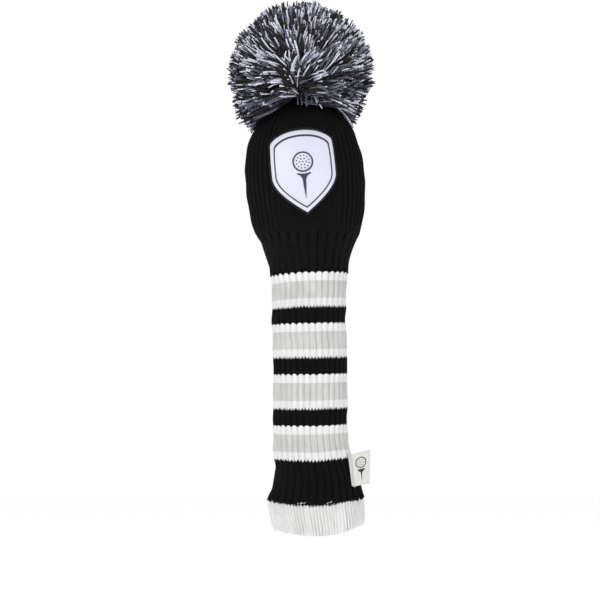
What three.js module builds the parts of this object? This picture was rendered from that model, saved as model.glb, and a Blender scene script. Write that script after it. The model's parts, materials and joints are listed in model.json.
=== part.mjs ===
import * as THREE from "three";

// A knitted driver head cover: a black head sock with a shield badge, a long striped neck, a turned white
// cuff, and a yarn pom-pom tied to the crown. Millimetres, +Z up towards the pom-pom, the badge faces -Y.
// The origin lies on the neck's axis, in the plane of the cuff's mouth.

// ---- driving dimensions ----

const FACETS = 32; // facets round every knitted ring
const GAP = 0.3; // clearance between neighbouring pieces

// heights above the cuff's mouth
const CUFF_TOP = 31.5;
const LAST_STRIPE = 71.6; // the lowest white stripe ends here, and the black flared band begins
const FLARE_TOP = 85; // the sleeve widens from here down to the cuff
const NECK_TOP = 244.9; // the head sock's first course
const GATHER_HEIGHT = 283; // where the deep gathered ribs below the head start
const WIDEST_HEIGHT = 335;
const CROWN_TOP = 412;
const POMPOM_HEIGHT = 435;

// half widths and half depths of the oval sections
const HEAD_HALF_WIDTH = 56.4;
const NECK_HALF_WIDTH = 35;
const FLARE_HALF_WIDTH = 45.6;
const MOUTH_HALF_WIDTH = 41.5;
const HEAD_DEPTH_SHARE = 0.71; // depth over width of the head
const NECK_DEPTH_SHARE = 0.77; // depth over width of the neck and the cuff

// the sleeve's centre line: it leans above the neck and shifts towards +X below it
const LEAN_AT_POMPOM = -9.9;
const SHIFT_AT_CUFF = 7;
const SHIFT_LOW = 42; // the shift is complete below this height
const SHIFT_HIGH = 100; // and starts here

const KNIT = 3; // thickness of the knitted wall
const LINER = 1.6; // thickness of the fleece lining
const LINER_BOTTOM = 264;
const LINER_HOLE = 0.3; // share of the head's width left open round the crown's washer

// stripes, counted down from the head: white, grey, white, then black between the groups
const WHITE_STRIPE = 7.8;
const GREY_STRIPE = 16.1;
const BLACK_STRIPE = 15.5;
const STRIPE_GROUPS = 4;

const CUFF_LAYER = 2.2; // one layer of the turned cuff
const CUFF_CHANNEL = 2.8; // space between its two layers
const HEM_FLOOR = 2.5; // height of the fold above the mouth
const ELASTIC_BOTTOM = 8;
const ELASTIC_TOP = 18;
const HEM_THREAD = 1.6; // height and thickness of the overlock thread

// the crown's fastening: everything here is round
const CROWN_HOLE = 2.6;
const HOLE_MARGIN = 1.15; // the hole is this much larger than the cord's clearance needs
const GATHER_THREAD_RADIUS = 6;
const GATHER_THREAD = 0.9;
const WASHER_RADIUS = 11;
const WASHER_HOLE = 3.6;
const WASHER = 1.5;
const WASHER_DROP = 3.7; // from the underside of the crown's knit to the washer
const CORD_RADIUS = 1.2;
const CORD_END = 6; // how far the cord reaches into the pom-pom above the crown
const KNOT_RADIUS = 3.8;
const KNOT_SHOULDER = 3; // radius near the knot's two ends
const KNOT_HEIGHT = 7;
const KNOT_ROUNDING = 0.15; // share of the knot's height from each end to its shoulder
const ROUND_FACETS = 24;
const CORD_FACETS = 12;
const THREAD_SIDES = 8;

const POMPOM_RADIUS = 66;
const POMPOM_ROWS = 10;
const TILT_CLEARANCE = THREE.MathUtils.degToRad(17); // turn of the crown that the pom-pom's underside clears
const DISH_SHARES = [0.8, 0.62, 0.42, 0.26]; // where its dished underside follows the crown, rim first
const CORE_RADIUS = 9; // the hollow at its middle, where the binding sits
const CORE_HEIGHT = 12;
const BINDING_RADIUS = 4.6;
const BINDING_THREAD = 2.4;
const BINDING_HEIGHT = 5;

const BADGE_HEIGHT = 336.4;
const BADGE_X = -4.8;
const BADGE_ROLL = THREE.MathUtils.degToRad(5.5);
const SHIELD_SPAN = 28.6; // half width at the upper corners
const SHIELD_CORNER = 28; // height of the upper corners above the middle
const SHIELD_PEAK = 47.4; // control height of the arched top
const SHIELD_TIP = -38.5;
const SHIELD_WAIST = 29.3; // half width where the lower curve meets the side
const SHIELD_WAIST_HEIGHT = -4;
const SHIELD_SIDE = [29.6, 12]; // control point of the side
const SHIELD_BELLY = [29, -16]; // control points of the lower curve
const SHIELD_FOOT = [12.5, -29.8];
const SHIELD_STEPS = 9; // points along each of its five curves
const BACKING_REACH = 1.045; // the backing's size over the face's
const PLATE_SHARES = [0, 0.35, 0.7, 1]; // rings of a plate from its middle to its edge, which let it bend

// heights of the badge's layers off the head
const BACKING_BOTTOM = 0.6;
const BACKING_TOP = 1.3;
const FACE_BOTTOM = 1.6;
const FACE_TOP = 2.9;
const PRINT_BOTTOM = 3.2;
const PRINT_TOP = 3.6;

const BORDER_SHARES = [0.86, 0.885]; // inner and outer edge of the border line, as shares of the shield
const BALL_MOTIF_HEIGHT = 8;
const BALL_MOTIF_RADIUS = 9.5;
const TEE_TOP = -2.6;
const TEE_TIP = -24;
const TEE_NECK = -9; // height where the tee's cup ends in its stem
const TEE_HALF_WIDTH = 6;
const TEE_STEM = 1.4;
const TEE_CUP = [1.6, -4]; // control point of the curve under the tee's cup
const TEE_STEPS = 3; // points along that curve
const TEE_MIDDLE = -5; // a height on its axis that sees its whole outline

const LABEL_LENGTH = 17.8; // seam to fold
const LABEL_HEIGHT = 31;
const LABEL_LAYER = 0.5;
const LABEL_SPACE = 0.2; // half the space between its two layers
const LABEL_START = 1.2; // clear of the stitches
const TACK_WIDTH = 0.8;
const TACK_DEPTH = 1.2;
const TACK_MARGIN = 1; // the stitches end this far inside the label's ends
const TACK_PLACE = 0.3; // from the seam's line out to the middle of the stitches
const SEAM_BOTTOM = new THREE.Vector3(40.6, -20.4, 45.4);
const SEAM_TOP = new THREE.Vector3(38, -9.8, 77);

const material = (color, roughness) =>
  new THREE.MeshStandardMaterial({ color, roughness, metalness: 0 });
const MATERIALS = {
  black: material(0x17171a, 0.95),
  white: material(0xe8e8ea, 0.95),
  grey: material(0xcbcbc8, 0.95),
  fleece: material(0x2c2c30, 1),
  elastic: material(0xd8d6d0, 0.8),
  yarn: material(0x6b6f7d, 1),
  cord: material(0x202024, 0.9),
  felt: material(0x34343a, 1),
  badge: material(0xe4e4f1, 0.5),
  ink: material(0x2a2a3c, 0.6),
  label: material(0xe4e4de, 0.85),
};

const headCover = new THREE.Group();

function addMesh(name, geometry, finish, parent = headCover) {
  const mesh = new THREE.Mesh(geometry, MATERIALS[finish]);
  mesh.name = name;
  parent.add(mesh);
  return mesh;
}

// ---- the sleeve's sections ----

function centreLine(height) {
  if (height > NECK_TOP) {
    return (LEAN_AT_POMPOM * (height - NECK_TOP)) / (POMPOM_HEIGHT - NECK_TOP);
  }
  return SHIFT_AT_CUFF * (1 - THREE.MathUtils.smoothstep(height, SHIFT_LOW, SHIFT_HIGH));
}

// Radius share of a rounded dome at a share of its height; a power above 2 is fuller than an ellipse.
const dome = (share, power) => Math.pow(Math.max(0, 1 - Math.pow(share, power)), 1 / power);

const CROWN_POWER = 2.2;
const BELLY_POWER = 2;
const BELLY_HALF_HEIGHT = 103;
const TAPER_POWER = 2;
const FLARE_POWER = 1.45;

function halfWidth(height) {
  if (height >= WIDEST_HEIGHT) {
    const share = (height - WIDEST_HEIGHT) / (CROWN_TOP - WIDEST_HEIGHT);
    return HEAD_HALF_WIDTH * dome(share, CROWN_POWER);
  }
  const belly = (h) => HEAD_HALF_WIDTH * dome((WIDEST_HEIGHT - h) / BELLY_HALF_HEIGHT, BELLY_POWER);
  if (height >= GATHER_HEIGHT) return belly(height);
  if (height >= NECK_TOP) {
    const share = (height - NECK_TOP) / (GATHER_HEIGHT - NECK_TOP);
    return NECK_HALF_WIDTH + (belly(GATHER_HEIGHT) - NECK_HALF_WIDTH) * Math.pow(share, TAPER_POWER);
  }
  if (height >= FLARE_TOP) return NECK_HALF_WIDTH;
  if (height >= CUFF_TOP) {
    const share = (FLARE_TOP - height) / (FLARE_TOP - CUFF_TOP);
    return THREE.MathUtils.lerp(NECK_HALF_WIDTH, FLARE_HALF_WIDTH, Math.pow(share, FLARE_POWER));
  }
  return THREE.MathUtils.lerp(MOUTH_HALF_WIDTH, FLARE_HALF_WIDTH, height / CUFF_TOP);
}

function depthShare(height) {
  const blend = THREE.MathUtils.smoothstep(height, NECK_TOP, WIDEST_HEIGHT);
  return THREE.MathUtils.lerp(NECK_DEPTH_SHARE, HEAD_DEPTH_SHARE, blend);
}

// One oval ring of the sleeve, drawn in from the outside by an inset.
function ring(height, inset) {
  const wide = halfWidth(height);
  return {
    height,
    centre: centreLine(height),
    wide: wide - inset,
    deep: wide * depthShare(height) - inset,
  };
}

// A ring of the crown's dome at a share of the full width, on a surface drawn in by an inset.
function crownRing(widthShare, inset) {
  const rise = (CROWN_TOP - WIDEST_HEIGHT - inset) * dome(widthShare, CROWN_POWER);
  const height = WIDEST_HEIGHT + rise;
  return {
    height,
    centre: centreLine(height),
    wide: (HEAD_HALF_WIDTH - inset) * widthShare,
    deep: (HEAD_HALF_WIDTH * HEAD_DEPTH_SHARE - inset) * widthShare,
  };
}

const roundRing = (radius, height) => ({ height, centre: 0, wide: radius, deep: radius });

// A closed body swept through rings: the list runs up the outside and back down the inside.
// It either closes on its first ring or starts and ends on the axis.
function sweptRings(rings, facets = FACETS) {
  const onAxis = rings[0].wide === 0;
  const loop = onAxis ? rings : [...rings, rings[0]];
  const outline = loop.map((r) => new THREE.Vector2(r.wide, r.height));
  const geometry = new THREE.LatheGeometry(outline, facets);
  geometry.rotateX(Math.PI / 2);
  const position = geometry.getAttribute("position");
  for (let i = 0; i < position.count; i += 1) {
    const r = loop[i % loop.length];
    const depthOverWidth = r.wide > 0 ? r.deep / r.wide : 1;
    position.setXYZ(i, position.getX(i) + r.centre, position.getY(i) * depthOverWidth, r.height);
  }
  geometry.computeVertexNormals();
  return geometry;
}

// A knitted or woven tube between two insets, with a ring at each height.
function tube(heights, outerInset, innerInset) {
  const outside = heights.map((h) => ring(h, outerInset));
  const inside = heights.map((h) => ring(h, innerInset)).reverse();
  return sweptRings([...outside, ...inside]);
}

// ---- head ----

// heights of the rings of each piece, and widths of the crown's rings as shares of the head's
const GATHER_ROWS = [NECK_TOP + GAP, 258, 271, GATHER_HEIGHT];
const HEAD_ROWS = [GATHER_HEIGHT + GAP, 300, WIDEST_HEIGHT];
const CROWN_SHARES = [0.94, 0.83, 0.65, 0.42, 0.2];
const FLARE_ROWS = [CUFF_TOP + GAP, 42, 56, LAST_STRIPE];

function makeHeadSock() {
  const holeShare = (CROWN_HOLE * HOLE_MARGIN) / (HEAD_HALF_WIDTH * HEAD_DEPTH_SHARE);
  const shares = [...CROWN_SHARES, holeShare];
  const outside = [...HEAD_ROWS.map((h) => ring(h, 0)), ...shares.map((s) => crownRing(s, 0))];
  const inside = [...HEAD_ROWS.map((h) => ring(h, KNIT)), ...shares.map((s) => crownRing(s, KNIT))];
  addMesh("head_sock", sweptRings([...outside, ...inside.reverse()]), "black");
  addMesh("head_gather", tube(GATHER_ROWS, 0, KNIT), "black");
}

function makeHeadLiner() {
  const rows = [LINER_BOTTOM, ...[...GATHER_ROWS, ...HEAD_ROWS].filter((h) => h > LINER_BOTTOM)];
  const shares = CROWN_SHARES.filter((share) => share > LINER_HOLE);
  const outer = KNIT + GAP * 3;
  const inner = outer + LINER;
  const outside = [...rows.map((h) => ring(h, outer)), ...shares.map((s) => crownRing(s, outer))];
  const inside = [...rows.map((h) => ring(h, inner)), ...shares.map((s) => crownRing(s, inner))];
  addMesh("head_liner", sweptRings([...outside, ...inside.reverse()]), "fleece");
}

// ---- striped neck ----

function makeStripe(name, top, bottom, finish) {
  addMesh(name, tube([bottom + GAP, top], 0, KNIT), finish);
}

function makeNeck() {
  let top = NECK_TOP;
  const next = (name, depth, finish) => {
    makeStripe(name, top, top - depth, finish);
    top -= depth;
  };
  for (let group = 1; group <= STRIPE_GROUPS; group += 1) {
    next(`stripe_white_upper_${group}`, WHITE_STRIPE, "white");
    next(`stripe_grey_${group}`, GREY_STRIPE, "grey");
    next(`stripe_white_lower_${group}`, WHITE_STRIPE, "white");
    if (group < STRIPE_GROUPS) next(`stripe_black_${group}`, BLACK_STRIPE, "black");
  }
  addMesh("flare_band", tube(FLARE_ROWS, 0, KNIT), "black");
}

// ---- cuff ----

function makeCuff() {
  const outerLayer = [ring(0, 0), ring(CUFF_TOP / 2, 0), ring(CUFF_TOP, 0)];
  const channelOut = [ring(CUFF_TOP, CUFF_LAYER), ring(HEM_FLOOR, CUFF_LAYER)];
  const channelIn = CUFF_LAYER + CUFF_CHANNEL;
  const inside = channelIn + CUFF_LAYER;
  const innerLayer = [ring(HEM_FLOOR, channelIn), ring(CUFF_TOP, channelIn), ring(CUFF_TOP, inside)];
  addMesh("cuff", sweptRings([...outerLayer, ...channelOut, ...innerLayer, ring(0, inside)]), "white");

  const elasticOut = CUFF_LAYER + GAP;
  const elasticIn = channelIn - GAP;
  addMesh("cuff_elastic", tube([ELASTIC_BOTTOM, ELASTIC_TOP], elasticOut, elasticIn), "elastic");

  // the overlock thread that sews the turned-in layer to the sleeve
  const threadBottom = CUFF_TOP + 2 * GAP;
  const threadTop = threadBottom + HEM_THREAD;
  const threadOut = KNIT + 2 * GAP;
  addMesh("cuff_hem_stitching", tube([threadBottom, threadTop], threadOut, threadOut + HEM_THREAD), "white");
}

// ---- crown fastening and pom-pom ----

const PIVOT_HEIGHT = CROWN_TOP - 1; // the cord bends where it leaves the crown
const WASHER_TOP = CROWN_TOP - KNIT - WASHER_DROP;

// A ring of round thread lying flat round the axis.
function threadRing(radius, thickness, height) {
  const section = [];
  for (let i = 0; i < THREAD_SIDES; i += 1) {
    const turn = (i / THREAD_SIDES) * Math.PI * 2;
    section.push(roundRing(radius + thickness * Math.cos(turn), height + thickness * Math.sin(turn)));
  }
  return sweptRings(section, ROUND_FACETS);
}

function makeCrownFastening() {
  const crown = new THREE.Group();
  crown.position.x = centreLine(CROWN_TOP);
  headCover.add(crown);

  const threadHeight = CROWN_TOP + GATHER_THREAD + GAP;
  addMesh("crown_gather_thread", threadRing(GATHER_THREAD_RADIUS, GATHER_THREAD, threadHeight), "cord", crown);

  const washerBottom = WASHER_TOP - WASHER;
  const washer = [
    roundRing(WASHER_RADIUS, washerBottom),
    roundRing(WASHER_RADIUS, WASHER_TOP),
    roundRing(WASHER_HOLE, WASHER_TOP),
    roundRing(WASHER_HOLE, washerBottom),
  ];
  addMesh("crown_backing_washer", sweptRings(washer, ROUND_FACETS), "felt", crown);

  // the pom-pom's cord, knotted under the washer
  const knotTop = washerBottom - 2 * GAP;
  const cord = [
    roundRing(0, knotTop - KNOT_HEIGHT),
    roundRing(KNOT_SHOULDER, knotTop - KNOT_HEIGHT * (1 - KNOT_ROUNDING)),
    roundRing(KNOT_RADIUS, knotTop - KNOT_HEIGHT / 2),
    roundRing(KNOT_SHOULDER, knotTop - KNOT_HEIGHT * KNOT_ROUNDING),
    roundRing(CORD_RADIUS, knotTop),
    roundRing(CORD_RADIUS, CROWN_TOP + CORD_END),
    roundRing(0, CROWN_TOP + CORD_END),
  ];
  addMesh("pompom_tie_cord", sweptRings(cord, CORD_FACETS), "cord", crown);
}

// The crown's outline turned about the cord's pivot, which the pom-pom's underside has to clear.
function clearedCrown(widthShare) {
  const r = crownRing(widthShare, 0);
  const drop = r.height - PIVOT_HEIGHT;
  const outline = new THREE.Vector2(r.wide, drop);
  outline.rotateAround(new THREE.Vector2(0, 0), TILT_CLEARANCE);
  return roundRing(outline.x, outline.y + PIVOT_HEIGHT - POMPOM_HEIGHT);
}

function makePompom() {
  const pompom = new THREE.Group();
  pompom.position.set(centreLine(POMPOM_HEIGHT), 0, POMPOM_HEIGHT);
  headCover.add(pompom);

  // a ball from its top down to the rim of its dished underside
  const dish = DISH_SHARES.map(clearedCrown);
  const rimAngle = Math.acos(dish[0].height / POMPOM_RADIUS);
  const ball = [roundRing(0, POMPOM_RADIUS)];
  for (let i = 1; i <= POMPOM_ROWS; i += 1) {
    const angle = (rimAngle * i) / POMPOM_ROWS;
    ball.push(roundRing(POMPOM_RADIUS * Math.sin(angle), POMPOM_RADIUS * Math.cos(angle)));
  }
  const core = [roundRing(CORE_RADIUS, CORE_HEIGHT), roundRing(0, CORE_HEIGHT)];
  addMesh("pompom_yarn", sweptRings([...ball, ...dish, ...core].reverse()), "yarn", pompom);

  // the yarn's waist: the turns that bind the strands at the middle of the ball
  addMesh("pompom_binding", threadRing(BINDING_RADIUS, BINDING_THREAD, BINDING_HEIGHT), "cord", pompom);
}

// ---- badge ----

function shieldOutline() {
  const [sideX, sideY] = SHIELD_SIDE;
  const [bellyX, bellyY] = SHIELD_BELLY;
  const [footX, footY] = SHIELD_FOOT;
  const shield = new THREE.Shape();
  shield.moveTo(0, SHIELD_TIP);
  shield.bezierCurveTo(footX, footY, bellyX, bellyY, SHIELD_WAIST, SHIELD_WAIST_HEIGHT);
  shield.quadraticCurveTo(sideX, sideY, SHIELD_SPAN, SHIELD_CORNER);
  shield.quadraticCurveTo(0, SHIELD_PEAK, -SHIELD_SPAN, SHIELD_CORNER);
  shield.quadraticCurveTo(-sideX, sideY, -SHIELD_WAIST, SHIELD_WAIST_HEIGHT);
  shield.bezierCurveTo(-bellyX, bellyY, -footX, footY, 0, SHIELD_TIP);
  return shield.getPoints(SHIELD_STEPS).slice(0, -1).reverse();
}

// A point of the badge's own plane, laid on the front of the head and raised off it.
function ontoHead(across, up, raised) {
  const turned = new THREE.Vector2(across, up).rotateAround(new THREE.Vector2(0, 0), BADGE_ROLL);
  const x = BADGE_X + turned.x;
  const z = BADGE_HEIGHT + turned.y;
  const offset = (x - centreLine(z)) / halfWidth(z);
  const front = halfWidth(z) * depthShare(z) * Math.sqrt(1 - offset * offset);
  return new THREE.Vector3(x, -front - raised, z);
}

// A layer of the badge inside an outline, from a profile of [share of the outline, height off the head].
function badgeLayer(outline, middle, profile) {
  const points = profile.map(([share, raised]) => new THREE.Vector2(share, raised));
  const geometry = new THREE.LatheGeometry(points, outline.length);
  const position = geometry.getAttribute("position");
  for (let i = 0; i < position.count; i += 1) {
    const [share, raised] = profile[i % profile.length];
    const edge = outline[Math.floor(i / profile.length) % outline.length];
    const spot = new THREE.Vector2().lerpVectors(middle, edge, share);
    const p = ontoHead(spot.x, spot.y, raised);
    position.setXYZ(i, p.x, p.y, p.z);
  }
  geometry.computeVertexNormals();
  return geometry;
}

// A full plate's profile: from the middle out along its face and back along its underside.
function plate(bottom, top, reach = 1) {
  const shares = PLATE_SHARES.map((share) => share * reach);
  return [...shares.map((s) => [s, top]), ...shares.reverse().map((s) => [s, bottom])];
}

function makeBadge() {
  const shield = shieldOutline();
  const middle = new THREE.Vector2(0, 0);
  const backing = plate(BACKING_BOTTOM, BACKING_TOP, BACKING_REACH);
  addMesh("badge_backing", badgeLayer(shield, middle, backing), "black");
  addMesh("badge_face", badgeLayer(shield, middle, plate(FACE_BOTTOM, FACE_TOP)), "badge");
  const [borderInner, borderOuter] = BORDER_SHARES;
  const border = [
    [borderInner, PRINT_BOTTOM],
    [borderInner, PRINT_TOP],
    [borderOuter, PRINT_TOP],
    [borderOuter, PRINT_BOTTOM],
    [borderInner, PRINT_BOTTOM],
  ];
  addMesh("badge_border_line", badgeLayer(shield, middle, border), "ink");

  // a plain golf ball on a tee
  const print = plate(PRINT_BOTTOM, PRINT_TOP);
  const ballMiddle = new THREE.Vector2(0, BALL_MOTIF_HEIGHT);
  const round = new THREE.EllipseCurve(
    0,
    BALL_MOTIF_HEIGHT,
    BALL_MOTIF_RADIUS,
    BALL_MOTIF_RADIUS,
    0,
    2 * Math.PI,
    true,
  );
  const ball = round.getPoints(ROUND_FACETS).slice(0, -1);
  addMesh("badge_ball_motif", badgeLayer(ball, ballMiddle, print), "ink");
  const [cupX, cupY] = TEE_CUP;
  const tee = new THREE.Shape();
  tee.moveTo(-TEE_HALF_WIDTH, TEE_TOP);
  tee.quadraticCurveTo(-cupX, cupY, -TEE_STEM, TEE_NECK);
  tee.lineTo(0, TEE_TIP);
  tee.lineTo(TEE_STEM, TEE_NECK);
  tee.quadraticCurveTo(cupX, cupY, TEE_HALF_WIDTH, TEE_TOP);
  tee.lineTo(0, TEE_TOP);
  const teeOutline = tee.getPoints(TEE_STEPS).reverse();
  addMesh("badge_tee_motif", badgeLayer(teeOutline, new THREE.Vector2(0, TEE_MIDDLE), print), "ink");
}

// ---- side label ----

function makeLabel() {
  const along = new THREE.Vector3().subVectors(SEAM_TOP, SEAM_BOTTOM).normalize();
  const outwards = new THREE.Vector3(1, 0, 0).addScaledVector(along, -along.x).normalize();
  const across = new THREE.Vector3().crossVectors(along, outwards);
  const seam = new THREE.Group();
  seam.position.lerpVectors(SEAM_BOTTOM, SEAM_TOP, 0.5);
  seam.quaternion.setFromRotationMatrix(new THREE.Matrix4().makeBasis(outwards, across, along));
  headCover.add(seam);

  // the two layers and the fold at the outer edge, as one bent strip
  const outer = LABEL_SPACE + LABEL_LAYER;
  const inner = LABEL_SPACE;
  const bend = LABEL_LENGTH - outer;
  const strip = new THREE.Shape();
  strip.moveTo(LABEL_START, -outer);
  strip.lineTo(bend, -outer);
  strip.absarc(bend, 0, outer, -Math.PI / 2, Math.PI / 2);
  strip.lineTo(LABEL_START, outer);
  strip.lineTo(LABEL_START, inner);
  strip.lineTo(bend, inner);
  strip.absarc(bend, 0, inner, Math.PI / 2, -Math.PI / 2, true);
  strip.lineTo(LABEL_START, -inner);
  const folded = new THREE.ExtrudeGeometry(strip, {
    depth: LABEL_HEIGHT,
    bevelEnabled: false,
    curveSegments: 4,
  });
  folded.translate(0, 0, -LABEL_HEIGHT / 2);
  addMesh("side_label", folded, "label", seam);

  // the row of stitches that holds it down
  const tack = new THREE.BoxGeometry(TACK_WIDTH, TACK_DEPTH, LABEL_HEIGHT - 2 * TACK_MARGIN);
  tack.translate(TACK_PLACE, 0, 0);
  addMesh("label_stitching", tack, "cord", seam);
}

makeHeadSock();
makeHeadLiner();
makeNeck();
makeCuff();
makeCrownFastening();
makePompom();
makeBadge();
makeLabel();

export default headCover;
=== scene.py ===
"""Looks of a knitted driver head cover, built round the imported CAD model.

The knit is made as real rib and stitch relief on the sleeve's own surface, the pom-pom as thousands of cut
strands, and the badge and the label as thin layered pieces. Lengths are millimetres until mesh_object(),
which turns them into metres in the CAD frame. The lights and the camera are placed in metres.
"""

import json
import math

import bmesh
import bpy
import numpy as np
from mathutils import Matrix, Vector


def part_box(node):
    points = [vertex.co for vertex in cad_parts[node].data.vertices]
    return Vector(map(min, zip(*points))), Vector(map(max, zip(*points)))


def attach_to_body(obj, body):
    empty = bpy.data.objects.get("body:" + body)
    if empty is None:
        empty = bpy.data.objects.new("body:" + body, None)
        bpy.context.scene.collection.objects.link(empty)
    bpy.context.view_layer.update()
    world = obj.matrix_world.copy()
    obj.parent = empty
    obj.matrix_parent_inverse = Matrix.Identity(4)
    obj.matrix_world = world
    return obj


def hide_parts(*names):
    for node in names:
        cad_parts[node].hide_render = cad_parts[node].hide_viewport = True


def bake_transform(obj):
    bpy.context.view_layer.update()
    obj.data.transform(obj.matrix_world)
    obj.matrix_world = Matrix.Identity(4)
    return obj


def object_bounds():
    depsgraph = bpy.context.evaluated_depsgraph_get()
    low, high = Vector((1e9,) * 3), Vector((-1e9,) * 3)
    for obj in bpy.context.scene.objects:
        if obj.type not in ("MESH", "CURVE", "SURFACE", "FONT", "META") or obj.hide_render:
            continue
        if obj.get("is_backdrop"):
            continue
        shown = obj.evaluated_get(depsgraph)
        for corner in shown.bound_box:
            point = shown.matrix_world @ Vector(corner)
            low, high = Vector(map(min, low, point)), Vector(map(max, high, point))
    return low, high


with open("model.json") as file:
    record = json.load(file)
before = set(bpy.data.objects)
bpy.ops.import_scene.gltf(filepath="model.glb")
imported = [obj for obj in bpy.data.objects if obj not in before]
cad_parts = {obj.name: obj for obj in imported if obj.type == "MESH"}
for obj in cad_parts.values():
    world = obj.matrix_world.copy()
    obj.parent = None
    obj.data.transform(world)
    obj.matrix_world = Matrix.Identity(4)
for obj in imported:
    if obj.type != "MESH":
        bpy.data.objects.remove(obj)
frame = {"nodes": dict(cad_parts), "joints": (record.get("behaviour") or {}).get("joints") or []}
CAD_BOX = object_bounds()
MM = 0.001


def low(node):
    return np.array(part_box(node)[0]) / MM


def high(node):
    return np.array(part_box(node)[1]) / MM


# ---- driving dimensions, from the frame ----

CUFF_TOP = high("cuff")[2]
LAST_STRIPE = high("flare_band")[2]
NECK_TOP = high("stripe_white_upper_1")[2]
GATHER_TOP = high("head_gather")[2]
CROWN_TOP = high("head_sock")[2]
HEAD_HALF_WIDTH = (high("head_sock")[0] - low("head_sock")[0]) / 2
NECK_HALF_WIDTH = (high("stripe_grey_2")[0] - low("stripe_grey_2")[0]) / 2
NECK_SLIM = 0.5  # the knit's relief brings the neck back to its full width
CUFF_SLIM = 0.7  # the cuff's folds do the same
FLARE_HALF_WIDTH = (high("cuff")[0] - low("cuff")[0]) / 2 - CUFF_SLIM
POMPOM_TOP = high("pompom_yarn")[2]
POMPOM_RADIUS = (high("pompom_yarn")[0] - low("pompom_yarn")[0]) / 2
POMPOM_X = (high("pompom_yarn")[0] + low("pompom_yarn")[0]) / 2
POMPOM_Z = POMPOM_TOP - POMPOM_RADIUS
BADGE_X = (high("badge_face")[0] + low("badge_face")[0]) / 2
SHIELD_ZERO = 0.9  # the shield's outline is drawn from this far above its middle
BADGE_Z = (high("badge_face")[2] + low("badge_face")[2]) / 2 + SHIELD_ZERO

# ---- the sleeve's shape ----

WIDEST_HEIGHT = 335
CROWN_POWER = 2.2  # 2 makes the crown an ellipse, and more makes it squarer
BELLY_HALF_HEIGHT = 103  # of the ellipse between the widest height and the gather line
TAPER_POWER = 2.1
FLARE_TOP = 85
FLARE_POWER = 1.7
MOUTH_HALF_WIDTH = 42.2
NECK_END_WIDENING, NECK_END_REACH = 1.4, 7  # where the neck widens into the head
HEAD_DEPTH_SHARE = 0.71  # depth from front to back as a share of the width
NECK_DEPTH_SHARE = 0.77
SHIFT_AT_CUFF = 7  # the cuff's middle lies this far to the right of the neck's
SHIFT_LOW, SHIFT_HIGH = 42, 100  # whole below the first height and gone above the second
KNIT = 2.6  # thickness of the knitted wall

# the sleeve isn't quite straight: how far its middle lies to the right, and between which heights that grows
MIDDLE_SHIFT = 0.6
NECK_LEAN, NECK_LEAN_STARTS, NECK_LEAN_ENDS = -1.3, (165, 205), (212, 240)
CROWN_LEAN, CROWN_LEAN_STARTS = 1.4, (365, 390)
# bends of its middle and bulges of its outline: (distance to the right or out, height, reach up and down)
BENDS = [(-1.9, 33, 13), (-0.5, 288, 15), (1.5, 0, 12), (-0.9, 76, 11), (-1.1, 243, 9)]
HEAD_BULGES = [(0.5, 288, 15)]
NECK_BULGES = [(0.8, 76, 11), (0.2, 243, 9)]

# how far the rows of stitches rise on the sleeve's two sides, because the knit is pulled on askew
TILT_RIGHT, TILT_RIGHT_BY_CUFF = 1.1, 2.8
TILT_LEFT_BY_HEAD, TILT_LEFT_BY_CUFF = -2.4, 0.9
TILT_POWER = 1.3

GAP = 0.3  # between two CAD pieces; the knitted bands close it
RIBS = 32  # round the striped neck
GATHER_RIBS = 28  # round the gathered part of the head
HEAD_RIBS = 52  # round the head, on its two sides
CUFF_RIBS = 82
COURSE = 1.9  # height of one row of stitches
HEAD_COURSE = 1.75
HEAD_WALES = 140  # columns of stitches round the head
FACES_IN_COURSE = 5
OVAL_STEPS = 720


def smoothstep(x, a, b):
    t = np.clip((np.asarray(x, float) - a) / (b - a), 0, 1)
    return t * t * (3 - 2 * t)


def bell(x, reach):
    """1 at nought and nearly nothing from twice the reach."""
    return np.exp(-((x / reach) ** 2))


def bells(z, rows):
    return sum(size * bell(z - middle, reach) for size, middle, reach in rows)


def unit(vectors):
    return vectors / np.linalg.norm(vectors, axis=-1, keepdims=True)


def centre_line(z):
    z = np.asarray(z, float)
    lean = POMPOM_X * (z - NECK_TOP) / (POMPOM_Z - NECK_TOP)
    shift = SHIFT_AT_CUFF * (1 - smoothstep(z, SHIFT_LOW, SHIFT_HIGH))
    sway = MIDDLE_SHIFT + NECK_LEAN * smoothstep(z, *NECK_LEAN_STARTS) * (1 - smoothstep(z, *NECK_LEAN_ENDS))
    sway = sway + bells(z, BENDS) + CROWN_LEAN * smoothstep(z, *CROWN_LEAN_STARTS)
    return np.where(z > NECK_TOP, lean, shift) + sway


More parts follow.
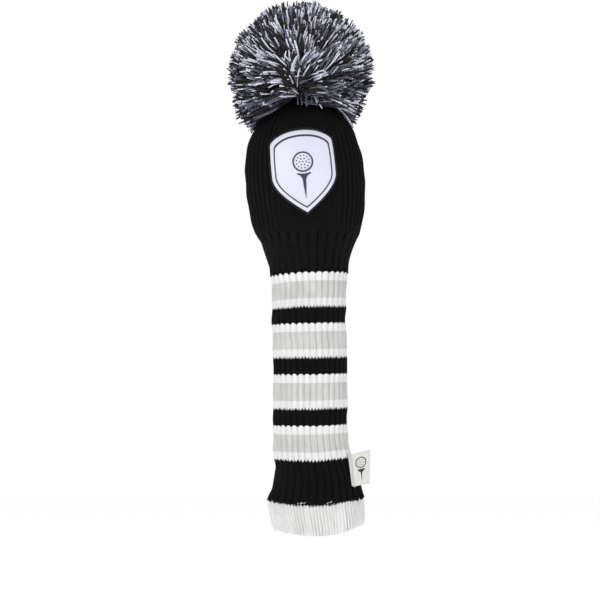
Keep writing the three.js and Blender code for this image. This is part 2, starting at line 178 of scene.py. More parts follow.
def half_width(z):
    z = np.asarray(z, float)
    climb = np.clip((z - WIDEST_HEIGHT) / (CROWN_TOP - WIDEST_HEIGHT), 0, 1)
    crown = HEAD_HALF_WIDTH * (1 - climb**CROWN_POWER) ** (1 / CROWN_POWER)
    belly = HEAD_HALF_WIDTH * np.sqrt(1 - np.clip((WIDEST_HEIGHT - z) / BELLY_HALF_HEIGHT, 0, 1) ** 2)
    gather = HEAD_HALF_WIDTH * math.sqrt(1 - ((WIDEST_HEIGHT - GATHER_TOP) / BELLY_HALF_HEIGHT) ** 2)
    neck_end = NECK_HALF_WIDTH + NECK_END_WIDENING
    share = np.clip((z - NECK_TOP) / (GATHER_TOP - NECK_TOP), 0, 1)
    taper = neck_end + (gather - neck_end) * share**TAPER_POWER
    flare = np.clip((FLARE_TOP - z) / (FLARE_TOP - CUFF_TOP), 0, 1) ** FLARE_POWER
    slim = NECK_HALF_WIDTH - NECK_SLIM
    neck = slim + (FLARE_HALF_WIDTH - slim) * flare
    neck = neck + (neck_end - slim) * np.exp(-np.clip(NECK_TOP - z, 0, None) / NECK_END_REACH)
    cuff = MOUTH_HALF_WIDTH + (FLARE_HALF_WIDTH - MOUTH_HALF_WIDTH) * np.clip(z / CUFF_TOP, 0, 1)
    above = np.where(z > WIDEST_HEIGHT, crown, np.where(z > GATHER_TOP, belly, taper))
    below = np.where(z > CUFF_TOP, neck, cuff)
    return np.where(z > NECK_TOP, above + bells(z, HEAD_BULGES), below + bells(z, NECK_BULGES))


def half_depth(z):
    share = smoothstep(z, NECK_TOP, WIDEST_HEIGHT)
    return half_width(z) * (NECK_DEPTH_SHARE + (HEAD_DEPTH_SHARE - NECK_DEPTH_SHARE) * share)


def even_angles(turn, wide, deep):
    """The angles from the front at even steps of arc length round an oval; turn runs from 0 to 1."""
    fine = np.linspace(0, 2 * np.pi, OVAL_STEPS + 1)
    x, y = wide * np.sin(fine), deep * np.cos(fine)
    arc = np.concatenate([[0], np.cumsum(np.hypot(np.diff(x), np.diff(y)))])
    return np.interp(turn, arc / arc[-1], fine)


def on_sleeve(angle, z, raised, rise=0.0):
    """Points on the sleeve at angles from its front, raised off it. A rise moves them up on the same oval."""
    wide, deep = half_width(z), half_depth(z)
    nx, ny = np.sin(angle) / wide, -np.cos(angle) / deep
    length = np.hypot(nx, ny)
    x = centre_line(z) + wide * np.sin(angle) + raised * nx / length
    y = -deep * np.cos(angle) + raised * ny / length
    return np.stack([x, y, np.broadcast_to(z, x.shape) + rise], axis=-1)


def sleeve_points(turn, z, raised, rise=0.0):
    """A grid on the sleeve: turn is a row of arc shares and z a column of heights."""
    z = np.asarray(z, float).reshape(-1, 1)
    angle = np.array([even_angles(turn, float(half_width(h)), float(half_depth(h))) for h in z[:, 0]])
    return on_sleeve(angle, z, raised, rise)


def even_turns(columns):
    return (np.arange(columns) + 0.5) / columns


def tilt(turn, z):
    """How far a row rises at a place round the sleeve, as it is pulled on askew."""
    side = np.sin(2 * np.pi * turn)
    fade = 1 - smoothstep(z, 250, GATHER_TOP)
    right = TILT_RIGHT + (TILT_RIGHT_BY_CUFF - TILT_RIGHT) * (1 - smoothstep(z, 70, 110))
    left = TILT_LEFT_BY_CUFF * (1 - smoothstep(z, 60, 100)) + TILT_LEFT_BY_HEAD * smoothstep(z, 170, 245)
    return fade * (right * np.clip(side, 0, 1) ** TILT_POWER + left * np.clip(-side, 0, 1) ** TILT_POWER)


# ---- meshes ----


def mesh_object(name, points, faces, finish, uv=None):
    """An object from points in millimetres and faces that all have the same number of corners."""
    points = np.asarray(points, float).reshape(-1, 3) * MM
    faces = np.asarray(faces, np.int32)
    mesh = bpy.data.meshes.new(name)
    mesh.vertices.add(len(points))
    mesh.vertices.foreach_set("co", points.astype(np.float32).ravel())
    mesh.loops.add(faces.size)
    mesh.loops.foreach_set("vertex_index", faces.ravel())
    mesh.polygons.add(len(faces))
    mesh.polygons.foreach_set("loop_start", np.arange(0, faces.size, faces.shape[1], dtype=np.int32))
    mesh.polygons.foreach_set("use_smooth", np.full(len(faces), True))
    mesh.update(calc_edges=True)
    if uv is not None:
        mesh.uv_layers.new(name="knit").data.foreach_set("uv", np.asarray(uv, np.float32).ravel())
    mesh.validate()
    thing = bpy.data.objects.new(name, mesh)
    bpy.context.collection.objects.link(thing)
    mesh.materials.append(finish)
    return thing


def ring_mesh(name, grid, u_count, v_rows, finish):
    """A closed body from a grid of points that wraps both ways; u_count repeats run round it."""
    rows, cols = grid.shape[:2]
    i, j = np.meshgrid(np.arange(rows), np.arange(cols), indexing="ij")
    down, right = (i + 1) % rows, (j + 1) % cols
    faces = np.stack([i * cols + j, i * cols + right, down * cols + right, down * cols + j], axis=-1)
    u0, u1 = j * u_count / cols, (j + 1) * u_count / cols
    v0, v1 = v_rows[i], v_rows[down]
    uv = np.stack([u0, v0, u1, v0, u1, v1, u0, v1], axis=-1)
    return mesh_object(name, grid, faces.reshape(-1, 4), finish, uv.reshape(-1, 4, 2))


def weld(thing):
    """Merges points that lie on each other, drops faces with no area, and turns all faces outwards."""
    made = bmesh.new()
    made.from_mesh(thing.data)
    bmesh.ops.remove_doubles(made, verts=made.verts, dist=0.01 * MM)
    bmesh.ops.dissolve_degenerate(made, edges=made.edges, dist=0.005 * MM)
    bmesh.ops.recalc_face_normals(made, faces=made.faces)
    made.to_mesh(thing.data)
    made.free()


def attach(piece, slot, node=None, body="sleeve"):
    """Makes a piece ride on a body in place of the CAD node that it stands for. slot is not used."""
    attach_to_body(piece, body)
    if node:
        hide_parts(node)


# ---- materials ----

STITCH_ROUNDING = 0.6
LEG_SLANT = 0.55  # rows of stitches that a stitch's leg climbs
PLY_SLANT = 1.7
PLY_TURNS = 11.0  # of a strand's plies along its length


class Graph:
    """Short calls for the few kinds of node that the materials here use. Noise scales are cells per metre."""

    def __init__(self, made):
        self.nodes = made.node_tree.nodes
        self.links = made.node_tree.links

    def put(self, value, socket):
        if isinstance(value, bpy.types.NodeSocket):
            self.links.new(value, socket)
        else:
            socket.default_value = value

    def math(self, kind, a, b=0.0, c=0.0):
        node = self.nodes.new("ShaderNodeMath")
        node.operation = kind
        for value, socket in zip((a, b, c), node.inputs):
            self.put(value, socket)
        return node.outputs[0]

    def times(self, a, b):
        return self.math("MULTIPLY", a, b)

    def plus(self, a, b):
        return self.math("ADD", a, b)

    def total(self, *terms):
        """The sum of values, each times its share."""
        out = self.times(*terms[0])
        for value, share in terms[1:]:
            out = self.math("MULTIPLY_ADD", value, share, out)
        return out

    def rounded(self, value):
        """A rounded hump as the value runs from 0 to 1."""
        return self.math("POWER", self.math("SINE", self.times(value, math.pi)), STITCH_ROUNDING)

    def split(self, vector):
        node = self.nodes.new("ShaderNodeSeparateXYZ")
        self.links.new(vector, node.inputs[0])
        return node.outputs

    def join(self, x, y, z):
        node = self.nodes.new("ShaderNodeCombineXYZ")
        for value, socket in zip((x, y, z), node.inputs):
            self.put(value, socket)
        return node.outputs[0]

    def coordinates(self, kind):
        return self.nodes.new("ShaderNodeTexCoord").outputs[kind]

    def noise(self, vector, scale, detail=2.0, rough=0.5):
        node = self.nodes.new("ShaderNodeTexNoise")
        self.links.new(vector, node.inputs["Vector"])
        node.inputs["Scale"].default_value = scale
        node.inputs["Detail"].default_value = detail
        node.inputs["Roughness"].default_value = rough
        return node.outputs["Fac"]

    def ramp(self, value, low_colour, high_colour, start, end):
        node = self.nodes.new("ShaderNodeValToRGB")
        self.links.new(value, node.inputs[0])
        stops = node.color_ramp.elements
        stops[0].position, stops[1].position = start, end
        stops[0].color, stops[1].color = (*low_colour, 1), (*high_colour, 1)
        return node.outputs[0]

    def bump(self, height, millimetres):
        node = self.nodes.new("ShaderNodeBump")
        node.inputs["Distance"].default_value = millimetres * MM
        self.links.new(height, node.inputs["Height"])
        return node.outputs[0]

    def surface(self, colour, normal, roughness, sheen=0.0):
        """Links the colour and the bump, and sets what is the same all over the surface."""
        shader = self.nodes["Principled BSDF"]
        self.links.new(colour, shader.inputs["Base Color"])
        self.links.new(normal, shader.inputs["Normal"])
        shader.inputs["Roughness"].default_value = roughness
        shader.inputs["Sheen Weight"].default_value = sheen
        return shader


def new_material(name):
    made = bpy.data.materials.new(name)
    made.use_nodes = True
    return made, Graph(made)


def knit_material(name, dark, light, sheen, bump):
    """Stitches in columns: u counts the columns and v the rows. Two slanting legs make each stitch, and the
    colour darkens where the stitches sink, as painted shade between the legs and the rows.
    """
    made, g = new_material(name)
    u, v, _ = g.split(g.coordinates("UV"))
    across = g.math("ABSOLUTE", g.math("SUBTRACT", g.times(g.math("FRACT", u), 2.0), 1.0))
    legs = g.rounded(across)
    phase = g.math("FRACT", g.plus(v, g.times(across, LEG_SLANT)))
    course = g.rounded(phase)
    stitch = g.times(legs, course)
    plies = g.math("SINE", g.times(g.plus(phase, g.times(across, PLY_SLANT)), 4 * math.pi))
    place = g.coordinates("Object")
    hairs = g.noise(place, 2600.0, detail=3.0, rough=0.7)
    patches = g.noise(place, 55.0, detail=3.0)
    streaks = g.noise(g.join(g.times(u, 1.7), g.times(v, 0.16), 0.0), 1.0)
    height = g.total((stitch, 1.0), (plies, 0.08), (hairs, 0.48))
    # the stitch share is painted shade where the stitches sink; patches, streaks and hairs are the yarn's own
    # uneven tone
    tone = g.total((patches, 0.25), (stitch, 0.5), (streaks, 0.35), (hairs, 0.2))
    shader = g.surface(g.ramp(tone, dark, light, 0.25, 0.95), g.bump(height, bump), 0.92, sheen)
    shader.inputs["Specular IOR Level"].default_value = 0.08
    shader.inputs["Sheen Roughness"].default_value = 0.45
    return made


def fibre_material(name, dark, light, scale, roughness=0.9, sheen=0.2):
    """Matted or twisted fibre with no direction: felt, fleece and thread."""
    made, g = new_material(name)
    tone = g.noise(g.coordinates("Object"), scale, detail=4.0, rough=0.65)
    g.surface(g.ramp(tone, dark, light, 0.3, 0.7), g.bump(tone, 0.6), roughness, sheen)
    return made


def strand_material(name, dark, light, sheen):
    """Yarn: u runs along a strand and v round it, and the plies wind as a helix."""
    made, g = new_material(name)
    u, v, _ = g.split(g.coordinates("UV"))
    wind = g.math("SINE", g.times(g.plus(g.times(u, PLY_TURNS), v), 4 * math.pi))
    wind = g.math("MULTIPLY_ADD", wind, 0.5, 0.5)
    place = g.coordinates("Object")
    fibres = g.noise(place, 1500.0, detail=3.0, rough=0.7)
    patches = g.noise(place, 160.0)
    tone = g.total((fibres, 0.35), (wind, 0.35), (patches, 0.5))
    g.surface(g.ramp(tone, dark, light, 0.25, 0.85), g.bump(g.plus(wind, fibres), 0.25), 0.85, sheen)
    return made


def moulded_material(name, colour, shade, roughness, bump):
    """A moulded or printed face with a fine matt texture."""
    made, g = new_material(name)
    place = g.coordinates("Object")
    grain = g.noise(place, 1800.0, detail=3.0, rough=0.6)
    patches = g.noise(place, 40.0)
    tone = g.total((grain, 0.3), (patches, 0.7))
    g.surface(g.ramp(tone, shade, colour, 0.2, 0.7), g.bump(grain, bump), roughness)
    return made


def woven_material(name, dark, light, threads):
    """Plain weave: u and v are millimetres on the cloth, threads is the count per millimetre."""
    made, g = new_material(name)
    u, v, _ = g.split(g.coordinates("UV"))
    warp = g.math("SINE", g.times(u, 2 * math.pi * threads))
    weft = g.math("SINE", g.times(v, 2 * math.pi * threads))
    weave = g.math("MULTIPLY_ADD", g.times(warp, weft), 0.5, 0.5)
    patches = g.noise(g.coordinates("Object"), 300.0, detail=3.0)
    tone = g.total((patches, 0.5), (weave, 0.5))
    g.surface(g.ramp(tone, dark, light, 0.1, 0.8), g.bump(weave, 0.12), 0.75, 0.15)
    return made


# each knit's darker colour shows partly as painted shade where its stitches sink and partly as the yarn's own
# uneven tone
BLACK = knit_material("black_knit", (0.0003, 0.0003, 0.0004), (0.0084, 0.0084, 0.0096), 0.01, 0.8)
WHITE = knit_material("white_knit", (0.66, 0.66, 0.675), (0.975, 0.975, 0.98), 0.1, 0.45)
GREY = knit_material("grey_knit", (0.31, 0.31, 0.297), (0.89, 0.89, 0.872), 0.1, 0.5)
CUFF_WHITE = knit_material("cuff_knit", (0.46, 0.46, 0.454), (0.965, 0.965, 0.958), 0.1, 0.42)
THREAD = fibre_material("dark_thread", (0.004, 0.004, 0.005), (0.02, 0.02, 0.024), 1800.0)
WHITE_THREAD = fibre_material("white_thread", (0.5, 0.5, 0.5), (0.8, 0.8, 0.8), 1800.0)
FLEECE = fibre_material("fleece", (0.010, 0.010, 0.012), (0.035, 0.035, 0.04), 700.0, 1.0, 0.4)
FELT = fibre_material("felt", (0.02, 0.02, 0.024), (0.05, 0.05, 0.055), 1100.0, 1.0, 0.3)
ELASTIC = fibre_material("elastic_tape", (0.5, 0.49, 0.46), (0.75, 0.74, 0.72), 1500.0, 0.7)
TWILL = fibre_material("badge_twill", (0.001, 0.001, 0.0012), (0.005, 0.005, 0.006), 1600.0, 0.95, 0.02)
BADGE = moulded_material("badge_face", (0.625, 0.625, 0.735), (0.58, 0.58, 0.69), 0.5, 0.06)
INK = moulded_material("badge_print", (0.030, 0.031, 0.055), (0.018, 0.019, 0.035), 0.55, 0.05)
TAPE = woven_material("label_tape", (0.54, 0.54, 0.50), (0.78, 0.78, 0.74), 2.2)
YARNS = {
    "black": strand_material("yarn_black", (0.0004, 0.0004, 0.0006), (0.006, 0.006, 0.009), 0.0),
    "slate": strand_material("yarn_slate", (0.02, 0.022, 0.036), (0.19, 0.20, 0.285), 0.06),
    "pale": strand_material("yarn_pale", (0.33, 0.34, 0.46), (0.90, 0.91, 1.0), 0.1),
}


# ---- knitted walls ----

RIB_GROOVE = 1.25
RIB_CROWN = 0.25  # height of a rib's rounded top as a share of its groove
MIDDLE_LINE = 0.045  # width of the line between a rib's two columns, in ribs
NECK_COLUMNS = RIBS * 12
EDGE_FADE = 2.5  # how fast the shape of a row at a colour change is lost away from it
WOBBLE, WOBBLE_SEED = 0.16, 7


def from_groove(x):
    """Distance from the nearest groove, in ribs. The grooves are at whole numbers."""
    return np.abs(x - np.round(x))


def rib_profile(x, groove, width=0.085, middle=0.18):
    """Height across a rib: a rounded top with a shallow middle line, between two grooves."""
    d = from_groove(x)
    crown = RIB_CROWN * groove * np.cos(2 * np.pi * x)
    return -groove * bell(d, width) - crown - middle * bell(d - 0.5, MIDDLE_LINE)


def course_relief(v, x, amount):
    """The bulge of each row of stitches, weaker in the grooves."""
    return amount * (np.abs(np.sin(np.pi * v)) ** 0.7 - 0.6) * np.clip(from_groove(x) / 0.12, 0, 1)


def rib_wave(turn, groove, column, middle, count=RIBS):
    """A wave round the sleeve from its values in a rib's groove, on its two columns and between them."""
    return np.interp(from_groove(turn * count), [0.0, 0.25, 0.5], [groove, column, middle])


def wavy(turn, amount, seed):
    """A slow irregular wave round the sleeve."""
    rng = np.random.default_rng(seed)
    wave = np.zeros_like(turn)
    for k in range(2, 9):
        wave += rng.normal() / k * np.sin(2 * np.pi * (k * turn + rng.random()))
    return amount * wave


def teeth(turn):
    """A row of stitches peaks on the two columns of each rib."""
    return rib_wave(turn, -0.6, 0.6, -0.4)


def column_teeth(turn):
    """Where black starts below white, its stitches peak on each column."""
    return rib_wave(turn, -1.6, 1.6, -1.4) + wavy(turn * 4, 0.3, seed=32)


def rib_teeth(turn):
    """Where white starts below black, each rib is one rounded lobe and black points run down its grooves."""
    return rib_wave(turn, -1.1, 0.3, 0.75) + wavy(turn * 5, 0.35, seed=31)


def cuff_edge(turn):
    """The wavy line where the black band meets the white cuff."""
    side = np.sin(2 * np.pi * turn)
    right, left = np.clip(side, 0, 1), np.clip(-side, 0, 1)
    rise = 0.9 * right + 2.2 * right**5 + 2.0 * left**3
    return wavy(turn, 0.6, seed=11) + rib_wave(turn, -1.0, 1.0, -0.5, CUFF_RIBS / 2) + rise


def wobble(turn, z):
    """Small unevenness of hand-stretched knit."""
    rng = np.random.default_rng(WOBBLE_SEED)
    out = 0
    for _ in range(7):
        k, m, a, b = rng.integers(1, 6), rng.uniform(0.01, 0.05), rng.random(), rng.random()
        out = out + np.sin(2 * np.pi * (k * turn + a)) * np.sin(2 * np.pi * (m * z + b))
    return WOBBLE * out


def band(name, bottom, top, finish, relief, edges, columns=NECK_COLUMNS, wales=2 * RIBS, course=COURSE):
    """A closed knitted ring between two heights. relief(turn, z, v) is how far its outer face stands out. The
    shapes of its lowest and highest row fade into the teeth of the rows between. course sets its fineness."""
    turn = even_turns(columns)
    count = int(round((top - bottom) / course * FACES_IN_COURSE))
    z = np.linspace(bottom, top, count + 1)
    v = z / COURSE
    share = ((z - bottom) / (top - bottom))[:, None]
    low_weight, high_weight = (1 - share) ** EDGE_FADE, share**EDGE_FADE
    rise = edges[0](turn) * low_weight + edges[1](turn) * high_weight
    rise = rise + teeth(turn) * (1 - low_weight - high_weight) + tilt(turn[None, :], z[:, None])
    outer = sleeve_points(turn, z, relief(turn[None, :], z[:, None], v[:, None]), rise)
    ends = [-1, 0]
    inner = sleeve_points(turn, z[ends], -KNIT, rise[ends])
    return ring_mesh(name, np.concatenate([outer, inner]), wales, np.concatenate([v, v[ends]]), finish)


# ---- neck ----

# for each kind of stripe: its yarn, and the shape of its lowest and of its highest row
STRIPES = {
    "white_upper": (WHITE, (teeth, rib_teeth)),
    "grey": (GREY, (teeth, teeth)),
    "white_lower": (WHITE, (column_teeth, teeth)),
    "black": (BLACK, (rib_teeth, column_teeth)),
}


def neck_relief(turn, z, v):
    """Ribs of two stitch columns, with a row of purl bumps at the bottom of each groove."""
    x = turn * RIBS
    purl = 0.5 * bell(from_groove(x), 0.09) * np.sin(2 * np.pi * v)
    ribs = rib_profile(x, RIB_GROOVE, width=0.1, middle=0.3)
    return ribs + course_relief(v, x, 0.3) + purl + wobble(turn, z)


def make_neck():
    for node in sorted(n for n in frame["nodes"] if n.startswith("stripe_")):
        kind = node[len("stripe_") :].rsplit("_", 1)[0]
        finish, edges = STRIPES[kind]
        made = band(f"knit_{node}", low(node)[2] - GAP, high(node)[2], finish, neck_relief, edges)
        attach(made, f"stripe_{kind.split('_')[0]}", node)
    made = band("knit_flare_band", CUFF_TOP, LAST_STRIPE, BLACK, neck_relief, (cuff_edge, column_teeth))
    attach(made, "flare_knit", "flare_band")


# ---- head ----

BADGE_HALF_SPREAD = (35, 43)  # half the width and height of the place that the badge presses in
CROWN_OPENING = 0.05  # radius of the hole at the crown's top, as a share of the head's


def gather_relief(turn, z, v):
    """Wide ribs with deep narrow grooves that start at the gather line and fade towards the neck."""
    x = turn * GATHER_RIBS
    start = smoothstep(GATHER_TOP - z, 0.0, 3.0)
    fade = 1 - 0.6 * smoothstep(GATHER_TOP - z, 8, 34)
    d = from_groove(x)
    groove = -3.2 * bell(d, 0.08) * start * fade
    lobe = 0.5 * (1 - (2 * (0.5 - d)) ** 2) * start
    ribs = rib_profile(turn * RIBS, 0.9) * (1 - smoothstep(z, NECK_TOP, NECK_TOP + 12))
    return groove + lobe + ribs + course_relief(v, 2 * x, 0.18) + wobble(turn, z)


def badge_footprint(turn, z):
    """1 under the badge, where the stitching presses the padding in, and a raised rim just outside it."""
    across = centre_line(z) + half_width(z) * np.sin(2 * np.pi * turn) - BADGE_X
    up = z - BADGE_Z + 2
    r = np.hypot(across / BADGE_HALF_SPREAD[0], up / BADGE_HALF_SPREAD[1])
    front = np.cos(2 * np.pi * turn) > 0
    return front * (1 - smoothstep(r, 0.8, 1.04) - 0.7 * bell(r - 1.12, 0.09))


def head_relief(turn, z):
    """Fine ribs on both sides, and a smooth panel with shallow columns between them."""
    sides = smoothstep(np.abs(np.sin(2 * np.pi * turn)), 0.42, 0.66)
    to_gather = smoothstep(z, GATHER_TOP, GATHER_TOP + 10)
    near_crown = 1 - smoothstep(z, CROWN_TOP - 22, CROWN_TOP - 3)
    ribs = sides * (0.4 + 0.6 * to_gather) * (0.25 - 1.5 * bell(from_groove(turn * HEAD_RIBS), 0.17))
    panel = 0.28 * (1 - sides) * np.cos(np.pi * turn * HEAD_WALES)
    return (ribs + panel + wobble(turn, z)) * near_crown - 1.1 * badge_footprint(turn, z)


def make_head():
    edges = (rib_teeth, np.zeros_like)
    options = {"columns": GATHER_RIBS * 18, "wales": GATHER_RIBS * 2, "course": HEAD_COURSE}
    made = band("knit_head_gather", NECK_TOP, GATHER_TOP, BLACK, gather_relief, edges, **options)
    attach(made, "head_knit", "head_gather")

    turn = even_turns(HEAD_RIBS * 10)
    flat = np.linspace(GATHER_TOP, WIDEST_HEIGHT, 60)[:-1]
    climb = np.linspace(0, np.arccos(CROWN_OPENING), 110)
    dome = (1 - np.cos(climb) ** CROWN_POWER) ** (1 / CROWN_POWER)
    z = np.concatenate([flat, WIDEST_HEIGHT + (CROWN_TOP - WIDEST_HEIGHT) * dome])
    outer = sleeve_points(turn, z, head_relief(turn[None, :], z[:, None]))
    # the inside has few rows: at the crown's hole, on its rounding, at the widest height and at the bottom
    inner_rows = [len(z) - 1, len(z) - 30, len(flat), 0]
    inner = outer[inner_rows]
    middle = np.stack([centre_line(z[inner_rows]), 0 * z[inner_rows], z[inner_rows]], axis=-1)[:, None]
    inner = inner + KNIT * unit(middle - inner)
    inner[0, :, 2] -= KNIT
    v_rows = np.concatenate([z, z[inner_rows]]) / HEAD_COURSE
    made = ring_mesh("knit_head_sock", np.concatenate([outer, inner]), HEAD_WALES, v_rows, BLACK)
    attach(made, "head_knit", "head_sock")


# ---- cuff ----

CUFF_GROOVE, CUFF_GROOVE_WIDTH, CUFF_SEED = 1.95, 0.19, 5
CUFF_PUFF = 0.9
CUFF_LAYERS = (-2.2, -5.0, -7.2)  # offsets of the outer layer's inside and the turned-in layer's two faces
ELASTIC_LAYER = (-2.6, -4.6)  # offsets of the tape's two faces, between the cuff's layers
HEM = 3.0  # from the mouth up to the fold inside
MOUTH_FRONT, MOUTH_LEFT, MOUTH_RIGHT = 4.2, 3.4, 7.0  # the mouth's height, and its rise on the two sides


def cuff_relief(turn, z):
    """Fine ribs of uneven depth, and soft folds that deepen towards the mouth."""
    x = turn * CUFF_RIBS
    rng = np.random.default_rng(CUFF_SEED)
    depth, reach = 0.5 + 0.9 * rng.random(CUFF_RIBS), rng.uniform(0.1, 1.0, CUFF_RIBS)
    rib = np.round(x).astype(int) % CUFF_RIBS
    up = np.clip(z / CUFF_TOP, 0, 1)
    strength = CUFF_GROOVE * depth[rib] * (0.6 + 0.5 * smoothstep(1 - up, 0.0, 1.0) * reach[rib])
    ribs = -strength * bell(from_groove(x), CUFF_GROOVE_WIDTH)
    puff = CUFF_PUFF * np.sin(np.pi * up) ** 0.8
    return ribs + puff + wavy(turn, 0.3, seed=3) + (1.25 - up) * wavy(turn * 3, 0.75, seed=8)


def mouth_line(turn):
    """The cuff's lower edge, which rises towards the two sides, more on the right."""
    side = np.sin(2 * np.pi * (turn + 0.02))
    rise = MOUTH_LEFT * np.clip(-side, 0, 1) ** 2.2 + MOUTH_RIGHT * np.clip(side, 0, 1) ** 2
    scallop = 0.5 * np.abs(np.sin(np.pi * turn * CUFF_RIBS))
    return MOUTH_FRONT + rise + wavy(turn, 0.35, seed=21) - scallop


def make_cuff():
    turn = even_turns(CUFF_RIBS * 9)
    rows = 44
    share = np.linspace(0, 1, rows)[:, None]
    bottom = mouth_line(turn)
    top = CUFF_TOP + cuff_edge(turn) + tilt(turn, CUFF_TOP)
    z = np.linspace(0, CUFF_TOP, rows)
    roll = 1.7 * (1 - np.clip(share / 0.1, 0, 1)) ** 2
    outer = sleeve_points(turn, z, cuff_relief(turn[None, :], z[:, None]) - roll)
    outer[..., 2] = bottom + (top - bottom) * share
    # from the top down the outer layer's inside, across the hem, up the turned-in layer and down its inside
    heights = [CUFF_TOP - 0.5, 2.5, 2.5, CUFF_TOP - 1, CUFF_TOP - 1, 0]
    insets = np.repeat(CUFF_LAYERS, 2)
    inner = np.concatenate([sleeve_points(turn, [h], inset) for h, inset in zip(heights, insets)])
    inner[0, :, 2] = top - 0.2
    inner[1:3, :, 2] = bottom + HEM
    inner[5, :, 2] = bottom + 0.8
    v_rows = np.concatenate([z, heights]) / COURSE
    made = ring_mesh("knit_cuff", np.concatenate([outer, inner]), CUFF_RIBS, v_rows, CUFF_WHITE)
    attach(made, "cuff_knit", "cuff")


def make_elastic():
    """The elastic tape between the cuff's two layers, which follows the mouth."""
    turn = even_turns(CUFF_RIBS * 3)
    bottom, top = low("cuff_elastic")[2], high("cuff_elastic")[2]
    rise = mouth_line(turn) - mouth_line(np.zeros(1))
    outside, inside = ELASTIC_LAYER
    corners = [(bottom, outside), (top, outside), (top, inside), (bottom, inside)]
    grid = np.concatenate([sleeve_points(turn, [z], inset, rise) for z, inset in corners])
    made = ring_mesh("elastic_tape", grid, CUFF_RIBS, np.arange(len(corners)), ELASTIC)
    attach(made, "elastic_tape", "cuff_elastic")


# ---- tubes for threads and strands ----

SIDES = 4
UV_STEP = 0.37  # between two strands, so that their plies don't start alike
CUT_END_UV = np.array([[0.0, 0.0], [0.1, 0.0], [0.1, 0.2], [0.0, 0.2]])


def tubes(name, paths, radii, finish, seed, flat=0.8):
    """One mesh of many strands with four sides and closed ends. paths is (strands, points, 3), radii is
    (strands, points), and flat is a strand's second thickness as a share of its first."""
    rng = np.random.default_rng(seed)
    count, steps = paths.shape[:2]
    tangent = unit(np.gradient(paths, axis=1))
    side = unit(np.cross(tangent, rng.normal(size=(count, 1, 3))))
    up = np.cross(tangent, side)
    turn = np.arange(SIDES) / SIDES * 2 * np.pi
    ring = side[:, :, None] * np.cos(turn)[:, None] + flat * up[:, :, None] * np.sin(turn)[:, None]
    points = paths[:, :, None] + radii[:, :, None, None] * ring
    strand = np.arange(count)[:, None, None]
    i, j = np.arange(steps - 1)[None, :, None], np.arange(SIDES)[None, None, :]
    k = (j + 1) % SIDES
    a = (strand * steps + i) * SIDES
    b = a + SIDES
    walls = np.stack([a + j, b + j, b + k, a + k], axis=-1).reshape(-1, 4)
    u0 = i / (steps - 1) + UV_STEP * strand + 0.0 * j
    u1 = u0 + 1 / (steps - 1)
    v0 = np.broadcast_to(j / SIDES, u0.shape)
    v1 = v0 + 1 / SIDES
    wall_uv = np.stack([u0, v0, u1, v0, u1, v1, u0, v1], axis=-1).reshape(-1, 4, 2)
    first = (strand * steps * SIDES + j)[:, 0]
    last = first[:, ::-1] + (steps - 1) * SIDES
    end_uv = np.broadcast_to(CUT_END_UV, (2 * count, 4, 2))
    faces = np.concatenate([walls, first, last])
    return mesh_object(name, points, faces, finish, np.concatenate([wall_uv, end_uv]))


# ---- pom-pom ----

STRANDS = 7600  # before those that would end in the head or below it are left out
TUFT = 8  # strands in a tuft
YARN = 0.92  # radius of a strand
YARN_TAPER = np.array([0.7, 0.8, 0.9, 1.0, 1.0, 1.0, 1.0, 0.82])  # along a strand, from its root
ROOT_Z = CROWN_TOP + 5
BALL_MIDDLE = np.array([POMPOM_X + 0.8, 0.0, POMPOM_Z])
HANG = 27  # how far the ball hangs down beside the crown
HANG_RIGHT, HANG_LEFT = (24, 52), (12, 48)  # distances beside the crown's middle where that starts and ends
ARCH_RIGHT, ARCH_LEFT = 0.53, 0.65  # slopes of the ball's lower edge in front of the crown and behind it
SHADE_SHARES = [0.47, 0.27, 0.26]  # black, slate and pale strands
STRAY_SHARES = [0.5, 0.35, 0.15]
STRAYS = 46
SKIRT_FACTOR = 1.22  # strands that come nearer the crown than this crown_factor cross the pom-pom's joints
# strands that hang over the crown's front: start beside its middle, slant, length, and whether it is a loop
FRONT_STRAYS = [(10, 8, 22, False), (13, 10, 18, False), (9, 5, 17, False), (-16, 15, 12, True)]


def crown_factor(p):
    """Below 1 inside the crown's rounded top, 1 on it, and above 1 outside."""
    centre = centre_line(CROWN_TOP)
    x, y = (p[..., 0] - centre) / HEAD_HALF_WIDTH, p[..., 1] / (HEAD_HALF_WIDTH * HEAD_DEPTH_SHARE)
    z = np.clip(p[..., 2] - WIDEST_HEIGHT, 0, None) / (CROWN_TOP - WIDEST_HEIGHT)
    return (np.hypot(x, y) ** CROWN_POWER + z**CROWN_POWER) ** (1 / CROWN_POWER)


def lifted_off_crown(p, clearance):
    """Pushes points out of the crown, away from the middle of the head."""
    middle = np.array([centre_line(CROWN_TOP), 0.0, WIDEST_HEIGHT])
    scale = np.maximum(1.0, (1 + clearance) / crown_factor(p))
    return middle + (p - middle) * scale[..., None]


def ball_directions(count, rng):
    """Evenly spread directions, each moved a little."""
    i = np.arange(count) + 0.5
    z = 1 - 2 * i / count
    a = np.pi * (1 + math.sqrt(5)) * i
    r = np.sqrt(1 - z * z)
    d = np.stack([r * np.cos(a), r * np.sin(a), z], axis=-1)
    return unit(d + rng.normal(scale=0.05, size=d.shape))


def ball_radius(d, rng):
    """The trimmed surface: nearly round, fuller beside the crown and at the upper right, and lumpy."""
    lobes = 5.5 * bell(d[:, 2] + 0.72, 0.2) * smoothstep(np.abs(d[:, 0]), 0.35, 0.7)
    shoulder = np.linalg.norm(d - np.array([0.87, 0.0, 0.45]), axis=-1)
    lobes = lobes + 3.5 * bell(shoulder, 0.4)
    lumps = np.zeros(len(d))
    for _ in range(9):
        axis = unit(rng.normal(size=3))
        lumps += np.sin(rng.uniform(3, 7) * (d @ axis) + rng.uniform(0, 6.3))
    return POMPOM_RADIUS - 0.5 + lobes + 0.55 * lumps


